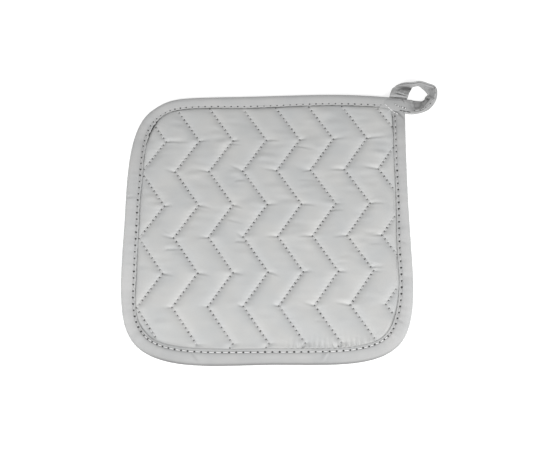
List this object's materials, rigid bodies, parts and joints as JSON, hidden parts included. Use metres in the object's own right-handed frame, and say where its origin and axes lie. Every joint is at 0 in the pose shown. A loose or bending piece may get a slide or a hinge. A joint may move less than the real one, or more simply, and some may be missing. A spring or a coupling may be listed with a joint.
{
  "type": "quilted pot holder",
  "caption": "Square padded pot holder with a silicone-coated face quilted in zigzags, a bound rim with one square corner, and a twisted tape loop to hang it by.",
  "frame": {"origin": "the middle of the flat underside, between two stitch lines", "axes": "+X to the right and +Y to the edge whose right end carries the loop, seen from the front; +Z out of the front face"},
  "size_m": [0.2264, 0.2088, 0.0113],
  "materials": {
    "coated_cloth": "silver-grey plain-woven cloth with a satin silicone coating, quilted with grey thread",
    "binding_tape": "silver-grey folded bias tape of the same coated cloth, topstitched beside its inner edge"
  },
  "bodies": {
    "root": {"quilted_panel": "coated_cloth", "binding": "binding_tape", "hanging_loop": "binding_tape"}
  },
  "joints": []
}
